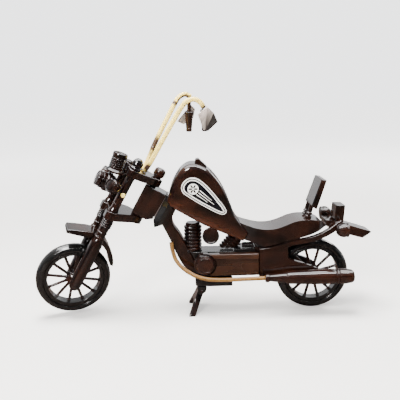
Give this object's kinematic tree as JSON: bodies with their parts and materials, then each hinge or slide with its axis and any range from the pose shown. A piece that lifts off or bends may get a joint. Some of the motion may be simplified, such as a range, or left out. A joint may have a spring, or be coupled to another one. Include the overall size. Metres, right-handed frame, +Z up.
{
  "type": "wooden display motorcycle",
  "caption": "Lacquered wooden chopper motorcycle model with cane handlebars, turning fork, spinning wheels and a folding centre stand.",
  "frame": {"origin": "on the surface it stands on, under the middle of the bounding box", "axes": "-X forward, +Z up, the rider's left side at -Y"},
  "size_m": [0.3848, 0.0836, 0.2537],
  "materials": {
    "brown_lacquer": "dark brown stained hardwood under clear high-gloss lacquer",
    "black_lacquer": "turned wood in black high-gloss lacquer",
    "grained_lacquer": "brown hardwood with visible grain under clear gloss lacquer",
    "cane": "bent pale cane with varnish and scorch marks at the bends",
    "badge_enamel": "flat white plaque with black field and plain rosette"
  },
  "bodies": {
    "root": {"neck_block": "brown_lacquer", "head_plate": "brown_lacquer", "down_tube": "brown_lacquer", "rear_block": "brown_lacquer", "tail_plate": "brown_lacquer", "taillight": "brown_lacquer", "bottom_board": "brown_lacquer", "stand_pin": "brown_lacquer", "rear_axle": "brown_lacquer", "side_frame_left": "brown_lacquer", "backrest_post_left": "brown_lacquer", "stand_bracket_left": "brown_lacquer", "side_frame_right": "brown_lacquer", "backrest_post_right": "brown_lacquer", "stand_bracket_right": "brown_lacquer", "rear_signal_left": "brown_lacquer", "rear_signal_right": "brown_lacquer", "tank": "brown_lacquer", "filler_cap": "brown_lacquer", "tank_badge_left": "badge_enamel", "tank_badge_right": "badge_enamel", "seat": "brown_lacquer", "backrest_pad": "brown_lacquer", "crankcase": "brown_lacquer", "cylinder_front": "brown_lacquer", "cylinder_rear": "brown_lacquer", "primary_cover": "grained_lacquer", "clutch_cover": "brown_lacquer", "timing_cover": "brown_lacquer", "air_cleaner": "brown_lacquer", "starter_motor": "brown_lacquer", "exhaust_pipe": "cane", "muffler": "brown_lacquer"},
    "fork": {"fork_leg_left": "brown_lacquer", "fork_cap_left": "brown_lacquer", "front_signal_left": "brown_lacquer", "handlebar_left": "cane", "fork_leg_right": "brown_lacquer", "fork_cap_right": "brown_lacquer", "front_signal_right": "brown_lacquer", "handlebar_right": "cane", "grip_left": "grained_lacquer", "grip_right": "grained_lacquer", "hand_guard_left": "brown_lacquer", "hand_guard_right": "brown_lacquer", "lower_yoke": "brown_lacquer", "upper_yoke": "brown_lacquer", "steering_stem": "brown_lacquer", "stem_nut": "brown_lacquer", "front_fender": "brown_lacquer", "lamp_bar": "cane", "headlight_body": "brown_lacquer", "headlight_lens": "brown_lacquer", "gauge": "brown_lacquer", "front_axle": "brown_lacquer"},
    "front_wheel": {"front_wheel_ring": "black_lacquer", "front_wheel_hub_and_spokes": "brown_lacquer"},
    "rear_wheel": {"rear_wheel_ring": "black_lacquer", "rear_wheel_hub_and_spokes": "brown_lacquer"},
    "stand": {"stand": "brown_lacquer"}
  },
  "joints": [
    {"name": "steering", "type": "hinge", "parent": "root", "child": "fork", "pos_m": [-0.06857, 0.0049, 0.13], "axis": [0.4894, 0, 0.8721], "range_deg": [-49.7, 14.3]},
    {"name": "front_wheel_spin", "type": "hinge", "parent": "fork", "child": "front_wheel", "pos_m": [-0.15143, -0.00513, 0.04658], "axis": [-0.2651, 0.9527, 0.1488], "continuous": true},
    {"name": "rear_wheel_spin", "type": "hinge", "parent": "root", "child": "rear_wheel", "pos_m": [0.12643, 0.0049, 0.042], "axis": [0, 1, 0], "continuous": true},
    {"name": "stand_fold", "type": "hinge", "parent": "root", "child": "stand", "pos_m": [-0.00407, 0.0049, 0.028], "axis": [0, 1, 0], "range_deg": [-100, 0]}
  ]
}
